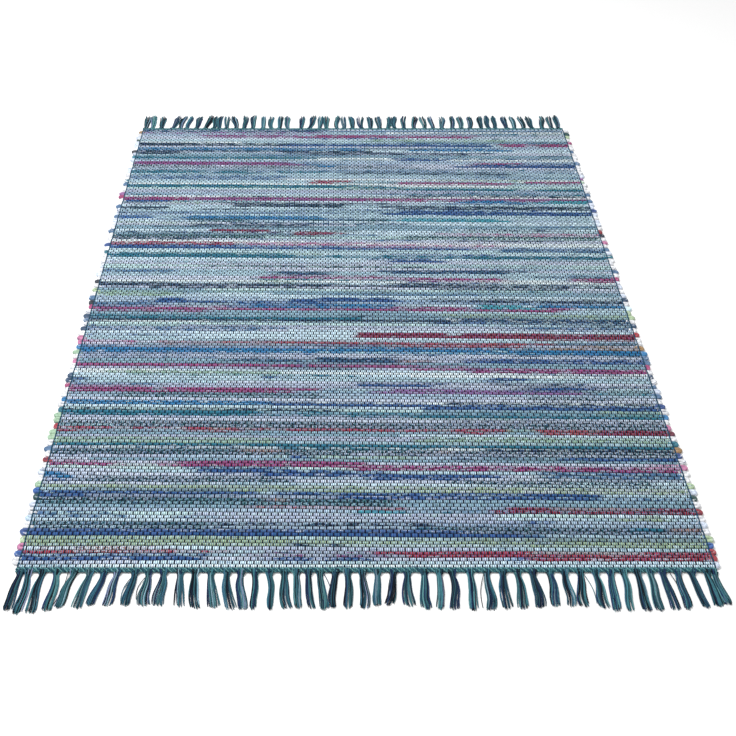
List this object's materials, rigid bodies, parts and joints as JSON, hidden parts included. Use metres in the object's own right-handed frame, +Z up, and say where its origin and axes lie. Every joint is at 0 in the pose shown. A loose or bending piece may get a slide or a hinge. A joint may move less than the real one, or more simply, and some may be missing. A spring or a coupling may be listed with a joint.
{
  "type": "rag rug",
  "caption": "Flat-woven rectangular rag rug of striped cloth strips on a fine warp, with looped selvedges, twined headings and knotted warp fringes, lying flat.",
  "frame": {"origin": "middle of the underside, on the surface that the rug lies on", "axes": "+Y along the warp from the front fringe to the back fringe, +X across the rug along the weft, +Z up out of its face"},
  "size_m": [1.432, 2.2206, 0.0084],
  "materials": {
    "rag_weave": "matt cotton rags in pale blue-grey with navy, teal, magenta and green stripes",
    "heading_yarn": "twined teal cotton yarn",
    "fringe_yarn": "teal, petrol and navy cotton warp yarns"
  },
  "bodies": {
    "root": {"rug_body": "rag_weave", "heading_front": "heading_yarn", "heading_back": "heading_yarn", "fringe_front": "fringe_yarn", "fringe_back": "fringe_yarn"}
  },
  "joints": []
}
